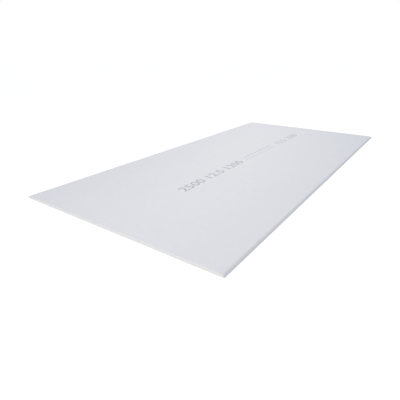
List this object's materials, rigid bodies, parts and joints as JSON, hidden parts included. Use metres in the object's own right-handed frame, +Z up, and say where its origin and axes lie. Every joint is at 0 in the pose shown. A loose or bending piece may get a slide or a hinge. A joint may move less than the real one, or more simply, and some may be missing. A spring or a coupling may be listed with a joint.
{
  "type": "drywall sheet",
  "caption": "Flat rectangular gypsum board with paper faces, square-cut ends and half-round tapered long edges, screwed to studs or joists to line walls and ceilings.",
  "frame": {"origin": "middle of the back face, on the surface that the sheet lies on", "axes": "+X along the sheet's length, +Y across its width, +Z up out of its face"},
  "size_m": [2.5, 1.2, 0.0125],
  "materials": {
    "face_paper": "matte",
    "back_paper": "matte",
    "gypsum_core": "matte",
    "print_ink": "matte"
  },
  "bodies": {
    "root": {"drywall_sheet": "face_paper"}
  },
  "joints": []
}
